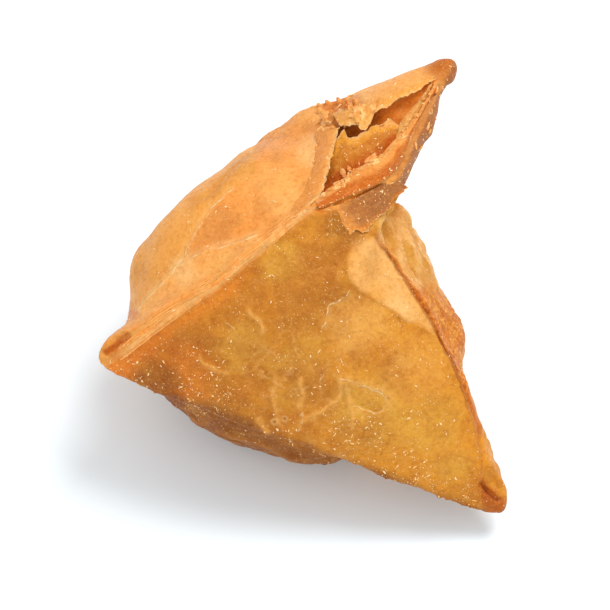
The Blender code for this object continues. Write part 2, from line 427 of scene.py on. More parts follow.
lowerEdge = ((-43.0, -14.6), (-36.0, -17.8), (-30.0, -19.6), (-24.0, -20.6), (-16.0, -22.6), (-11.0, -24.6),
             (-7.0, -26.6), (-2.0, -29.0), (3.0, -30.6), (8.0, -33.0), (14.0, -34.6), (20.0, -36.6),
             (29.5, -41.3), (38.0, -44.6))


def finerCase():
    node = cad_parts["samosa"]
    shape = bmesh.new()
    shape.from_mesh(node.data)
    bmesh.ops.remove_doubles(shape, verts=shape.verts, dist=1e-6)
    mesh = bpy.data.meshes.new("crust")
    shape.to_mesh(mesh)
    shape.free()
    case = newObject("crust", mesh)
    rounded = case.modifiers.new("rounded", "SUBSURF")
    rounded.levels = 1
    rounded.render_levels = 1
    shapes = mouthCutter(BVHTree.FromObject(case, bpy.context.evaluated_depsgraph_get()))
    for shape, operation in zip(shapes, ("DIFFERENCE", "UNION")):
        torn = case.modifiers.new(shape.name, "BOOLEAN")
        torn.operation = operation
        torn.solver = "EXACT"
        torn.object = shape
    remesh = case.modifiers.new("fine", "REMESH")
    remesh.mode = "VOXEL"
    remesh.voxel_size = crust["voxel"] / 1000
    remesh.use_smooth_shade = True
    smooth = case.modifiers.new("soften", "SMOOTH")
    smooth.iterations = crust["smoothing"]
    settle(case)
    for shape in shapes:
        bpy.data.objects.remove(shape)
    return case


# Where the filling pushes the crust further out or draws it in: u, v, w, reach and height in mm
bulges = (
    (37.5, -9.5, 2.0, 10.0, 3.3), (24.5, 20.0, 6.0, 6.0, 2.0), (31.0, 6.0, 2.0, 7.0, -1.2),
    (43.0, -25.0, 4.0, 7.0, -1.0), (29.0, 14.0, 3.0, 5.0, 0.8), (9.5, -37.0, 3.0, 6.0, 1.7),
    (3.5, 42.0, -1.0, 8.0, 1.5), (-12.0, 33.5, -4.0, 8.0, 0.9), (36.5, -3.0, 2.0, 7.0, 1.1),
    (40.5, -14.0, 3.0, 6.0, 1.0), (2.0, -36.5, 0.0, 5.0, -0.8), (19.0, -40.5, 8.0, 9.0, 0.9),
    (26.0, 22.0, 8.0, 4.0, 0.8), (-36.0, 9.0, 0.0, 9.0, 1.7), (-26.0, 20.0, 0.0, 8.0, -0.7),
    (-6.0, 37.5, -4.0, 13.0, 0.9), (4.0, -34.5, 5.0, 9.0, 1.5), (20.0, -40.0, 8.0, 9.0, 1.3),
    (47.0, -45.5, 7.0, 7.0, 1.2), (35.5, 54.0, 8.0, 7.0, 1.5), (31.5, 42.0, 12.0, 4.0, -0.6),
    (35.0, 45.0, 11.0, 5.0, -1.9), (31.0, 36.5, 12.0, 4.5, 0.9), (-28.0, -21.0, 8.0, 7.0, 0.8),
)
# How high the crust's finer relief stands, in mm
heights = {
    "seam": 0.45,
    "wrinkle": 0.36,
    "blisterRim": 0.35,
    "blisterPit": 0.5,
    "fryDomes": 0.30,
    "fryGrain": 0.10,
    "rimDomes": 0.35,
    "bellyDomes": 0.16,
    "crumble": 2.3,
    "hollow": 0.22,
    "beyond": 0.42,
    "under": 0.55,
}


def layerStep(distance, rise, reach, soft=0.28):
    # a layer's edge: high on the left of its line, easing back over reach
    return rise * ease(distance, -soft, soft) * np.exp(-np.clip(distance, 0, None) / reach)


def insideMouth(case, normals):
    # 1 inside the torn mouth, 0 on the skin around it and behind it
    roofSide, lipSide = mouthSides()
    outline = np.vstack((roofSide, lipSide[::-1]))[:, :2]
    within = np.zeros(len(case), bool)
    for a, b in zip(outline, np.roll(outline, -1, axis=0)):
        crosses = (a[1] > case[:, 1]) != (b[1] > case[:, 1])
        at = a[0] + (case[:, 1] - a[1]) * (b[0] - a[0]) / (b[1] - a[1] + 1e-12)
        within ^= crosses & (case[:, 0] < at)
    edge = np.full(len(case), 1e9)
    for side in (roofSide, lipSide):
        edge = np.minimum(edge, np.abs(fromLine(side[::3, :2], case[:, :2], 2.0, 2)[0]))
    signed = np.where(within, edge, -edge)
    facing = ease(normals[:, 2], -0.5, -0.1) * (case[:, 2] > 7)
    return ease(signed, -0.45, 0.15) * facing


def relief(at):
    # how far each point of the crust moves outward, in mm
    case = at.case
    total = np.zeros(len(case))
    for u, v, w, reach, height in bulges:
        gap = np.linalg.norm(case - (u, v, w), axis=1) / reach
        total += height * np.clip(1 - gap * gap, 0, 1) ** 2
    smoothPart = total.copy()
    evenness = 1 - 0.45 * at.face
    for height, width, seed in crust["lumps"]:
        total += evenness * height * lumps(case, width, seed)
    for name, fold in foldLines.items():
        distance = at.lines[name] * fold["side"]
        rise = layerStep(distance, fold["rise"], fold["reach"])
        rise -= fold.get("groove", 0) * ridge(distance + 0.55, 0.5)
        total += at.front * at.fades[name] * rise
    total += heights["seam"] * at.front * at.seam
    total += heights["wrinkle"] * at.wrinkle + heights["blisterRim"] * ridge(at.blister, 0.28) * at.front
    total -= heights["blisterPit"] * (1 - ease(at.blister, -0.45, 0.0)) * at.front
    total += heights["fryDomes"] * at.fry * bubbles(case * (1.0, 0.6, 1.0), *domes["fry"])
    total += heights["fryGrain"] * at.fry * wave("fryGrain", case)
    total += heights["rimDomes"] * at.rim * bubbles(case, *domes["rim"])
    total += heights["bellyDomes"] * (1 - at.face) * bubbles(case, *domes["belly"])
    total += heights["crumble"] * at.crumble * (at.pocks - 0.4)
    total += heights["hollow"] * at.hollow * wave("hollow", case)
    rolling = wave("beyond", case * (1.0, 0.4, 1.0) + 0.5 * at.drift[:, None])
    total += heights["beyond"] * at.beyond * (1 - at.fry) * rolling
    total += heights["under"] * at.under * (1 - at.back) * at.underWaves
    return smoothPart + (total - smoothPart) * (1 - 0.6 * at.hollow)


def nearestFold(at, kind):
    # signed distance to the nearest line of this kind, and how much that line shows
    edge = np.full(len(at.case), farOff)
    near = np.zeros(len(edge))
    for name, fold in foldLines.items():
        if kind in fold:
            distance = at.lines[name] * fold["side"]
            closer = np.abs(distance) < np.abs(edge)
            shown = fold[kind] * at.fades[name] * (1 - ease(np.abs(distance), 0.5, 1.3))
            edge = np.where(closer, distance, edge)
            near = np.where(closer, shown, near)
    return edge, near * at.front


def findSpots(case, normals):
    # where on the crust each point lies: shares from 0 to 1, and signed distances to the lines
    at = SimpleNamespace(case=case, u=case[:, 0], v=case[:, 1], uv=case[:, :2], lines={}, fades={})
    at.drift = wave("drift", case)
    at.front = ease(normals[:, 2], -0.05, 0.3)
    at.back = 1 - ease(normals[:, 2], -0.3, 0.25)
    wobble = wave("wobble", case)
    for name, fold in foldLines.items():
        distance, share = fromLine(fold["line"], at.uv)
        at.lines[name] = distance + wobble
        at.fades[name] = ease(share, 0.0, 0.08) * (1 - ease(share, 0.92, 1.0))
    at.fades["waistEdge"] *= 0.3 + 0.7 * ease(at.v, -28, -19)
    at.edges = {kind: nearestFold(at, kind) for kind in ("rim", "crease")}
    at.wrinkle = np.zeros(len(case))
    for line in wrinkles:
        distance, share = fromLine(line, at.uv, 3.0, 4)
        fade = ease(share, 0.0, 0.15) * (1 - ease(share, 0.85, 1.0)) * at.front
        at.wrinkle = np.maximum(at.wrinkle, ridge(distance + 1.6 * wobble, 0.6) * fade)
    at.blister = np.full(len(case), farOff)
    for u, v, radius in burstBlisters:
        at.blister = np.minimum(at.blister, np.hypot(at.u - u, at.v - v) - radius)
    low, at.seamShare = fromLine(seamLines["low"], at.uv)
    high = fromLine(seamLines["high"], at.uv)[0]
    at.seamLow, at.seamHigh = low, high
    at.seamLevel = low / (low - high + 1e-6)
    frayed = wave("frayed", case)
    at.seam = ease(low + frayed, -0.8, 0.7) * (1 - ease(high + frayed, -0.6, 0.6))
    at.seam = at.seam * ease(at.seamShare, 0.0, 0.08)
    at.face = np.maximum(ease(low, -0.3, 0.6) * at.front, ease(at.v, 22, 26))
    at.beyond = ease(at.lines["waistEdge"], 0.1, 0.7) * (at.u > 16) * (at.v < 21)
    at.fry = at.beyond * (1 - ease(np.abs(at.v + 9), 9, 14))
    at.fry = np.maximum(at.fry, 0.6 * at.back * ease(wave("backFry", case), 0.0, 0.5))
    rim = fromLine(lowerEdge, at.uv)[0]
    at.rim = (1 - ease(np.abs(rim + 0.5 * at.drift), 1.5, 5.5)) * (1 - at.back)
    at.under = ease(-rim + 0.4 * at.drift, -1.0, 2.2) * ease(-at.v, 10, 15)
    at.underWaves = wave("under", (case + 0.6 * at.drift[:, None]) * (0.22, 0.9, 0.9))
    at.crumble = nearSpot(at.uv + at.drift[:, None] * 0.4, 11.0, 41.0, 7.5) * ease(normals[:, 2], -0.1, 0.2)
    at.pocks = bubbles(case, *domes["pocks"])
    at.hollow = insideMouth(case, normals)
    return at


def buildCrust():
    obj = finerCase()
    mesh = obj.data
    places, normals = readMesh(mesh)
    height = relief(findSpots(toCase(places), normals @ caseAxes.T))
    places += normals * height[:, None] / 1000
    places[:, 2] = np.maximum(places[:, 2], 0)
    mesh.vertices.foreach_set("co", places.astype(np.float32).ravel())
    mesh.update()
    triangles = len(mesh.loops) - 2 * len(mesh.polygons)
    if triangles > crust["mostTriangles"]:
        thinned = obj.modifiers.new("thinned", "DECIMATE")
        thinned.ratio = crust["mostTriangles"] / triangles
        settle(obj)
        mesh = obj.data
    places, normals = readMesh(mesh)
    paintCrust(mesh, findSpots(toCase(places), normals @ caseAxes.T))
    print("crust:", len(mesh.vertices), "points,", len(mesh.loops) - 2 * len(mesh.polygons), "triangles")
    return obj


# Patches of tone in the order they are laid: tone, share, u, v and reach in mm, and how many
# times over the drift carries them
patches = {
    "olive": (("olive", 0.9, 18, -24, 12, 1), ("olive", 0.8, 31, -27, 9, 1), ("olive", 0.6, -11, -10, 8, 1),
              ("olive", 0.5, -2, -17, 8, 1), ("olive", 0.7, -3, 9, 6, 1), ("olive", 0.6, 36, -36, 6, 1),
              ("olive", 0.5, 3, -12, 7, 1)),
    "pale": (("cream", 0.5, 23.0, -2.5, 5.0, 1),),
    "panel": (("orange", 0.85, -37, -13, 15, 1), ("orange", 0.4, 46, -44, 9, 1),
              ("orange", 0.8, -24, -17, 10, 1), ("bellyBrown", 0.75, -30.5, -17.5, 7.5, 1),
              ("panelBrown", 0.8, 11.5, 16.0, 7.5, 1), ("panelBrown", 0.7, 2.0, -16.5, 6.5, 1),
              ("panelBrown", 0.5, 22.5, -13.5, 5.0, 1), ("panelBrown", 0.45, 13.0, -29.5, 6.0, 1),
              ("panelBrown", 0.6, 9.5, -3.5, 5.0, 1), ("bellyBrown", 0.6, 11.5, 17.0, 6.5, 1),
              ("softPale", 0.7, 14.5, -6.0, 10, 1.5), ("softPale", 0.35, 27.0, -15.0, 10, 1.5),
              ("oliveDark", 0.6, 12.0, -19.5, 2.6, 0.5), ("brightOrange", 0.5, -39.0, -12.0, 8, 1)),
    "face": (("paleLayer", 0.45, -3.0, 24.0, 9.0, 2),),
    # the cream patch at the wedge's edge is a painted highlight
    "faceCreamAndHighlight": (("cream", 0.5, -24.0, 7.2, 4.5, 1), ("cream", 0.5, 4.0, 33.0, 5.0, 1)),
    # the red patch at the left is a painted shadow where the belly tucks under horn A
    "horns": (("red", 0.6, -35.4, -2.6, 1.8, 0), ("tipBrown", 0.95, 35.5, 54, 9, 0.5)),
}
# Darker lines along the seam: their place from its low side to its high one, width and share
seamStripes = ((0.34, 0.06, 0.5), (0.58, 0.04, 0.4), (0.8, 0.05, 0.45), (0.98, 0.04, 0.3))
# Where crumbs gather on the panel: u, v and reach in mm, and how many more
crumbSpots = ((14.0, -30.5, 9.0, 2.2), (-20.0, -18.5, 9.0, 1.3), (27.0, -36.0, 7.0, 1.0))


class Paint:
    # the crust's colours, one tone laid over another
    def __init__(self, at, ground):
        self.at = at
        self.colours = np.tile(tones[ground], (len(at.case), 1))

    def lay(self, tone, share):
        self.colours = mixTone(self.colours, tone, share)

    def layPatches(self, kind, within=1.0):
        for tone, share, u, v, reach, carried in patches[kind]:
            near = nearSpot(self.at.uv + carried * self.at.drift[:, None], u, v, reach)
            self.lay(tone, share * within * near)


def paintPanel(paint, at):
    # the front panel, browner on the left and golden to the right, and the pale layer laid bare
    paint.lay("gold", ease(at.u + 3 * at.drift, -14, 22) * 0.9)
    paint.lay("panelBrown", 0.7 * ease(at.soft, 0.1, 0.7) * (1 - ease(at.u, 8, 20)))
    paint.layPatches("olive")
    paint.lay("paleLayer", 0.65 * at.pale * at.front)
    paint.lay("cream", 0.3 * at.pale * at.front * ease(at.drift, -0.4, 0.8))
    paint.layPatches("pale", at.pale)
    paint.layPatches("panel")
    paint.lay("panelBrown", 0.35 * ease(at.shade, 0.1, 0.9) * (1 - ease(at.u, 16, 26)))
    paint.lay("gold", 0.3 * ease(-at.shade, 0.1, 0.9))


def paintFace(paint, at):
    # the smooth face behind the seam
    face = at.smooth
    paint.lay("peach", face)
    paint.lay("peachYellow", 0.8 * face * ease(wave("yellowFace", at.case) + 0.3 * at.drift, 0.0, 0.8))
    paint.lay("paleLayer", 0.55 * face * ease(wave("paleFace", at.case) + 0.4 * at.shade, 0.1, 0.9))
    paint.lay("pink", 0.28 * face * ease(-at.shade, 0.0, 0.8))
    paint.layPatches("face", face)
    outer = face * ease(at.lines["layerEdge"], -0.2, 0.4) * (at.u < -8)
    paint.lay("peachYellow", 0.8 * outer)
    paint.lay("bellyGold", 0.5 * outer * ease(at.drift, 0.0, 1.0))
    wedge = face * ease(-at.lines["wedge"], -0.3, 0.4) * ease(at.seamHigh, -0.5, 1.0) * at.fades["wedge"]
    paint.lay("paleLayer", 0.4 * wedge)
    paint.layPatches("faceCreamAndHighlight", face)
    paint.lay("roof", ease(at.v, 38, 43))


def paintSeam(paint, at):
    # down the seam, and the horns
    foot = ridge(at.seamLow + 1.4 + 0.4 * at.drift, 1.7) * (1 - ease(at.u, -16, -3))
    paint.lay("brightOrange", 0.5 * foot * at.front)
    paint.lay("seam", at.seam * at.front)
    wander = wave("seamWander", at.case)
    breaks = ease(wave("seamBreaks", at.case), -0.5, 0.3)
    for place, width, share in seamStripes:
        line = ridge(at.seamLevel + wander - place, width) * at.seam
        paint.lay("orange", share * line * breaks)
    crest = ridge(at.seamLow - 0.7 + 8 * wander, 0.5) * at.seam
    paint.lay("cream", 0.6 * crest)
    # the horns' patches include a painted shadow where the belly tucks under horn A
    paint.layPatches("horns")
    paint.lay("pink", 0.95 * at.right)


def paintBelly(paint, at):
    # beyond the waist, under the belly and behind
    paint.lay("bellyGold", at.beyond)
    browned = ease(wave("browned", at.case * (1.0, 0.35, 1.0)) + 0.4 * at.drift, -0.5, 0.5)
    paint.lay("orange", 0.95 * at.fry * (1 - at.back) * (0.5 + 0.5 * browned))
    paint.lay("deepOrange", 0.15 * at.fry * (1 - at.back))
    waist = at.lines["waistEdge"]
    # a deeper orange band just beyond the waist's edge: painted shade where the belly goes under the panel
    paint.lay("deepOrange", 0.8 * (at.beyond * (1 - ease(waist, 0.5, 2.2))))
    flap = ease(waist, 0.1, 0.7) * ease(-at.v, 27.5, 31)
    paint.lay("gold", flap)
    # deeper orange on the flap beside the slit: painted shade
    paint.lay("deepOrange", flap * (1 - ease(at.lines["slit"], 0.3, 2.6)) * ease(-at.v, 35, 40))
    upper = at.beyond * ease(at.v + at.drift, 2, 9)
    paint.lay("olive", 0.5 * upper)
    paint.lay("cream", 0.42 * upper * ease(wave("upperPale", at.case * (1.0, 0.4, 1.0)), -0.1, 0.6))
    paint.lay("bellyGold", 0.8 * at.back * (1 - at.hollow))
    paint.lay("orange", 0.4 * at.back * ease(at.soft, 0.0, 0.8))
    # under the belly: dark brown, partly the crust's own browning and partly painted shade
    paint.lay("bellyBrown", 0.95 * at.under)
    paint.lay("panelBrown", 0.45 * at.under * ease(at.underWaves, -0.1, 0.7))
    # a painted shadow in the notch under horn A
    paint.lay("dark", 0.8 * nearSpot(at.uv * (0.6, 1.0), -15.9, -22.3, 2.8))
    # darker towards the floor by height: painted shade near the ground
    low = 1 - ease((at.case @ caseAxes)[:, 2] + bellyMiddle[2] + 2 * at.drift, 2, 16)
    paint.lay("bellyBrown", 0.8 * low)


def paintMarks(paint, at):
    # wrinkles, blisters, the crumbled ridge, the lines of the folds and the mouth's inside
    paint.lay("softPale", 0.85 * at.wrinkle)
    paint.lay("cream", 0.55 * ridge(at.blister, 0.3) * at.front)
    paint.lay("paleLayer", 0.7 * at.crumble)
    paint.lay("deepOrange", 0.9 * at.crumble * (1 - ease(at.pocks, 0.08, 0.5)))
    # each fold's tint lies just beside its line; the darker tints of the folds with a groove lie in the
    # groove as painted shade
    for name, fold in foldLines.items():
        if "tint" in fold:
            tone, share, width = fold["tint"]
            beside = 0.45 if "groove" in fold else 0.5
            line = ridge(at.lines[name] * fold["side"] + beside, width)
            paint.lay(tone, share * line * at.fades[name] * at.front)
    # the mouth's inside painted brighter and redder, more so on its left: a painted glow in its shade
    paint.lay("paintedGlow", at.hollow)
    paint.lay("brightOrange", 0.7 * at.hollow * (1 - ease(at.u + at.drift, 12, 19)))


def scatterMarks(mesh, at):
    # how thickly crumbs and chunks lie
    crumbs = 0.16 + 0.9 * at.rim + 0.25 * ease(wave("dusted", at.case), 0.2, 0.8) * (1 - 0.5 * at.smooth)
    crumbs += 0.7 * at.seam * ease(at.u, -22, -6) + 0.8 * at.right + 0.5 * at.crumble
    cluster = ease(wave("cluster", at.case), 0.0, 1.0)
    crumbs *= 0.1 + 1.9 * cluster
    for u, v, reach, share in crumbSpots:
        crumbs += share * nearSpot(at.uv + at.drift[:, None], u, v, reach) * (0.3 + 0.7 * cluster)
    chunks = 0.16 * at.crumble + 0.10 * at.right * (at.v < 43) + 0.2 * at.seam * ease(at.u, -17, -8)
    writeMark(mesh, "chunks", chunks * at.front * (1 - at.hollow))
    writeMark(mesh, "crumbs", crumbs * at.front * (1 - at.hollow))


def paintCrust(mesh, at):
    at.soft = wave("soft", at.case)
    at.shade = wave("shade", at.case)
    at.smooth = at.face * (1 - at.beyond)
    at.right = ease(-at.lines["fold"] + 0.3 * at.drift, -0.3, 0.6) * (at.v > 24)
    at.pale = ease(at.lines["paleEdge"] + 0.4 * at.drift, -0.5, 0.9)
    at.pale = at.pale * ease(-at.lines["waistEdge"], -9.0, -0.5)
    at.pale *= ease(at.v, -11, -4) * (1 - ease(at.v, 12.5, 15)) * ease(at.u, 10, 13)
    paint = Paint(at, "panel")
    for step in (paintPanel, paintFace, paintSeam, paintBelly, paintMarks):
        step(paint, at)
    writeTone(mesh, paint.colours)
    writeMark(mesh, "mottle", (1 - 0.75 * at.smooth) * (1 - at.pale * 0.9) * (1 - 0.7 * at.hollow))
    writeMark(mesh, "fry", np.maximum(at.fry, 0.5 * at.crumble))
    writeMark(mesh, "veins", nearSpot(at.uv, 2, -16, 17) * (1 - at.smooth) * at.front)
    for kind, (edge, near) in at.edges.items():
        writeEdge(mesh, kind, edge, near)
    writeMark(mesh, "grain", at.seam * at.front)
    level = np.clip(at.seamLevel, -0.5, 1.5)
    writeFlow(mesh, np.stack((at.seamShare * 3.4, level * 5.5, np.zeros(len(level))), 1))
    scatterMarks(mesh, at)


class Wiring:
    # adds nodes to a tree, each giving one of its outputs
    def __init__(self, tree):
        self.tree = tree

    def plug(self, source, socket):
        if isinstance(source, bpy.types.NodeSocket):
            self.tree.links.new(source, socket)
        else:
            socket.default_value = source

    def add(self, kind, output=0, inputs=None, **settings):
        node = self.tree.nodes.new(kind)
        for name, value in settings.items():
            setattr(node, name, value)
        for key, value in (inputs or {}).items():
            self.plug(value, node.inputs[key])
        return node.outputs[output]

    def maths(self, operation, *values):
        return self.add("ShaderNodeMath", 0, dict(enumerate(values)), operation=operation)

    def times(self, first, second):
        return self.maths("MULTIPLY", first, second)


class Coat(Wiring):
    # a material being wired up
    def __init__(self, name):
        self.material = bpy.data.materials.new(name)
        self.material.use_nodes = True
        super().__init__(self.material.node_tree)

    def noise(self, place, scale, detail=4.0, roughness=0.55, distortion=0.0):
        values = {"Vector": place, "Scale": scale, "Detail": detail, "Roughness": roughness,
                  "Distortion": distortion}
        return self.add("ShaderNodeTexNoise", "Fac", values)

    def cells(self, place, scale, feature="F1"):
        values = {"Vector": place, "Scale": scale}
        return self.add("ShaderNodeTexVoronoi", "Distance", values, feature=feature)

    def mark(self, name, output="Fac"):
        return self.add("ShaderNodeAttribute", output, attribute_name=name)

    def shift(self, place, amount, scale):
        # the same place, pushed about by a noise
        noise = self.add("ShaderNodeTexNoise", "Color", {"Vector": place, "Scale": scale})
        return self.add("ShaderNodeVectorMath", 0, {0: noise, 1: (amount, amount, amount), 2: place},
                        operation="MULTIPLY_ADD")

    def span(self, value, low, high, start=0.0, end=1.0):
        values = {"Value": value, "From Min": low, "From Max": high, "To Min": start, "To Max": end}
        return self.add("ShaderNodeMapRange", "Result", values, interpolation_type="SMOOTHSTEP")

    def blend(self, share, first, second, way="MIX"):
        values = {0: share, 6: first, 7: second}
        return self.add("ShaderNodeMix", 2, values, data_type="RGBA", blend_type=way)

    def bump(self, height, distance, strength):
        return self.add("ShaderNodeBump", 0, {"Height": height, "Distance": distance, "Strength": strength})

    def dress(self, values):
        # fills the shader's own sockets
        for name, value in values.items():
            self.plug(value, self.tree.nodes["Principled BSDF"].inputs[name])
        return self.material


class Grower(Wiring):
    # a geometry tree with named inputs
    def __init__(self, name, **kinds):
        super().__init__(bpy.data.node_groups.new(name, "GeometryNodeTree"))
        sockets = self.tree.interface
        sockets.new_socket("Geometry", in_out="OUTPUT", socket_type="NodeSocketGeometry")
        self.keys = {}
        for label, kind in {"Geometry": "Geometry", **kinds}.items():
            socket = sockets.new_socket(label, in_out="INPUT", socket_type="NodeSocket" + kind)
            self.keys[label] = socket.identifier
        self.given = self.tree.nodes.new("NodeGroupInput").outputs

    def end(self, geometry, material):
        smooth = self.add("GeometryNodeSetShadeSmooth", 0, {"Geometry": geometry})
        whole = self.add("GeometryNodeRealizeInstances", 0, {"Geometry": smooth})
        coated = self.add("GeometryNodeSetMaterial", 0, {"Geometry": whole, "Material": material})
        self.plug(coated, self.tree.nodes.new("NodeGroupOutput").inputs[0])

    def grow(self, name, mesh, values):
        # a plain mesh of what the tree makes on this mesh
        obj = newObject(name, mesh)
        modifier = obj.modifiers.new(self.tree.name, "NODES")
        modifier.node_group = self.tree
        for label, value in values.items():
            modifier[self.keys[label]] = value
        settle(obj)
        print(name + ":", len(obj.data.polygons), "faces")
        return obj


finish = {
    "oilStain": (0.74, 0.56, 0.34, 1),  # multiplies the crust where oil has browned it
    "layerShade": (0.90, 0.62, 0.36, 1),
    # darkens the creases, as painted shade
    "crease": (0.42, 0.26, 0.14, 1),
    "fryPale": (0.82, 0.40, 0.05, 1),
    "fryDark": (0.52, 0.28, 0.12, 1),
    "flourPale": (0.90, 0.50, 0.15, 1),
    "fleck": (0.95, 0.66, 0.32, 1),
    "pit": (0.36, 0.11, 0.012, 1),
    "gloss": 0.32,
    "glossTint": (1.0, 0.76, 0.48, 1),
    "roughness": (0.36, 0.60),
    "bumpDepth": 0.00045,
    "bumpStrength": 0.9,
    "softness": 0.15,
    "softDepth": (0.0016, 0.0006, 0.0002),
}
# Noises of the crust's finish: scale per metre, detail, roughness and distortion
grains = {
    "broad": (130, 4, 0.6, 0.4),
    "medium": (330, 5, 0.62, 0.5),
    "fine": (1200, 4, 0.6),
    "finest": (3800, 3, 0.6),
    "pepper": (2400, 3, 0.65),
    "toasted": (880, 4, 0.7, 0.6),
    "ragged": (1000, 3, 0.6),
    "rimBreaks": (620, 3),
    "fleckBreaks": (240, 3),
}
streaks = {"pale": (1.3, 4, 0.6), "dark": (1.9, 4, 0.6)}  # the same along the grain of the dough


def crustMaterial():
    coat = Coat("fried crust")
    place = coat.add("ShaderNodeTexCoord", "Object")
    flow = coat.mark("flow", "Vector")
    noises = {name: coat.noise(place, *grain) for name, grain in grains.items()}
    medium, fine, toasted, pepper = (noises[name] for name in ("medium", "fine", "toasted", "pepper"))
    mottle, fry, grainy = (coat.mark(name) for name in ("mottle", "fry", "grain"))
    stain = coat.times(coat.span(noises["broad"], 0.42, 0.66, 0.0, 0.5), mottle)
    blotch = coat.times(coat.span(medium, 0.48, 0.72, 0.0, 0.55), coat.span(mottle, 0, 1, 0.3, 1))
    # streaks along the layers' edges
    streak = coat.times(coat.span(coat.noise(flow, *streaks["pale"]), 0.46, 0.62, 0.0, 0.6), grainy)
    dim = coat.times(coat.span(coat.noise(flow, *streaks["dark"]), 0.48, 0.64, 0.0, 0.75), grainy)
    # pale rims of layers, and dark lines painted in the creases between them as painted shade
    ragged = coat.times(coat.maths("SUBTRACT", noises["ragged"], 0.5), 0.16)
    lines = {}
    for kind, low, high in (("rim", 0.016, 0.07), ("crease", 0.03, 0.13)):
        off = coat.maths("ADD", coat.maths("SUBTRACT", coat.mark(kind + "Edge"), 0.5), ragged)
        line = coat.span(coat.maths("ABSOLUTE", off), low, high, 1, 0)
        lines[kind] = coat.times(line, coat.mark(kind + "Near"))
    rimLine = coat.times(lines["rim"], coat.span(noises["rimBreaks"], 0.42, 0.56, 0.1, 0.75))
    # thin pale lines where blisters have run together
    web = coat.cells(coat.shift(place, 0.005, 300), 190, "DISTANCE_TO_EDGE")
    web = coat.times(coat.span(web, 0.0, 0.14, 1, 0), coat.mark("veins"))
    web = coat.times(web, coat.span(medium, 0.42, 0.6, 0.0, 0.3))
    pits = coat.span(coat.cells(coat.shift(place, 0.0012, 900), 1050), 0.16, 0.32, 1, 0)
    pits = coat.times(pits, coat.span(fry, 0, 1, 0.10, 0.5))
    pits = coat.times(pits, coat.span(medium, 0.38, 0.55))
    flecks = coat.span(coat.cells(place, 1250), 0.13, 0.24, 1, 0)
    flecks = coat.times(flecks, coat.span(noises["fleckBreaks"], 0.5, 0.66, 0, 0.8))
    colour = coat.mark("tone", "Color")
    for share, tint, way in (
            (stain, "oilStain", "MULTIPLY"),
            (blotch, "oilStain", "MULTIPLY"),
            (coat.span(medium, 0.46, 0.26, 0.0, 0.16), "flourPale", "MIX"),
            (streak, "flourPale", "MIX"),
            (dim, "layerShade", "MULTIPLY"),
            (web, "flourPale", "MIX"),
            (coat.span(fine, 0.5, 0.64, 0, 0.5), "oilStain", "MULTIPLY"),
            (coat.span(pepper, 0.56, 0.66, 0, 0.3), "flourPale", "MIX"),
            (coat.span(pepper, 0.44, 0.34, 0, 0.35), "oilStain", "MULTIPLY"),
            (coat.times(coat.span(toasted, 0.48, 0.62, 0, 0.6), fry), "fryPale", "MIX"),
            (coat.times(coat.span(toasted, 0.48, 0.34, 0, 0.45), fry), "fryDark", "MULTIPLY"),
            (pits, "pit", "MIX"),
            (flecks, "fleck", "MIX"),
            (lines["crease"], "crease", "MULTIPLY"),
            (rimLine, "fleck", "MIX")):
        colour = coat.blend(share, colour, finish[tint], way)
    height = coat.times(medium, 0.9)
    for part, amount in ((fine, 0.55), (noises["finest"], 0.18), (streak, 0.7), (rimLine, 0.6),
                         (coat.times(toasted, fry), 0.45), (flecks, 0.35), (web, 0.4)):
        height = coat.maths("ADD", height, coat.times(part, amount))
    height = coat.maths("SUBTRACT", height, coat.times(pits, 0.5))
    return coat.dress({
        "Base Color": colour,
        "Roughness": coat.span(fine, 0.3, 0.7, *finish["roughness"]),
        "Normal": coat.bump(height, finish["bumpDepth"], finish["bumpStrength"]),
        "Specular IOR Level": finish["gloss"],
        "Specular Tint": finish["glossTint"],
        "Subsurface Weight": finish["softness"],
        "Subsurface Radius": finish["softDepth"],
        "Subsurface Scale": 1.0,
    })


def crumbMaterial(name, light, dark, rough=0.5):
    coat = Coat(name)
    place = coat.add("ShaderNodeTexCoord", "Object")
    shade = coat.span(coat.noise(place, 700, 3, 0.6), 0.35, 0.65)
    fine = coat.noise(place, 3000, 3)
    return coat.dress({
        "Base Color": coat.blend(shade, light, dark),
        "Roughness": coat.span(fine, 0.3, 0.7, rough - 0.1, rough + 0.15),
        "Normal": coat.bump(fine, 0.0002, 0.7),
        "Specular IOR Level": 0.35,
    })


# How crumbs differ: their turn and stretch, how few are large, and the dents' scale per metre
crumbShape = {
    "turn": ((-0.35, -0.35, 0.0), (0.35, 0.35, 6.28)),
    "stretch": ((0.5, 0.3, 0.25), (2.1, 0.8, 0.5)),
    "fewLarge": 3.0,
    "sizes": (0.4, 1.6),  # the smallest, and how much larger the largest
    "dentScale": 2200.0,
    "seeds": {"turn": 3, "size": 4, "stretch": 5},
}


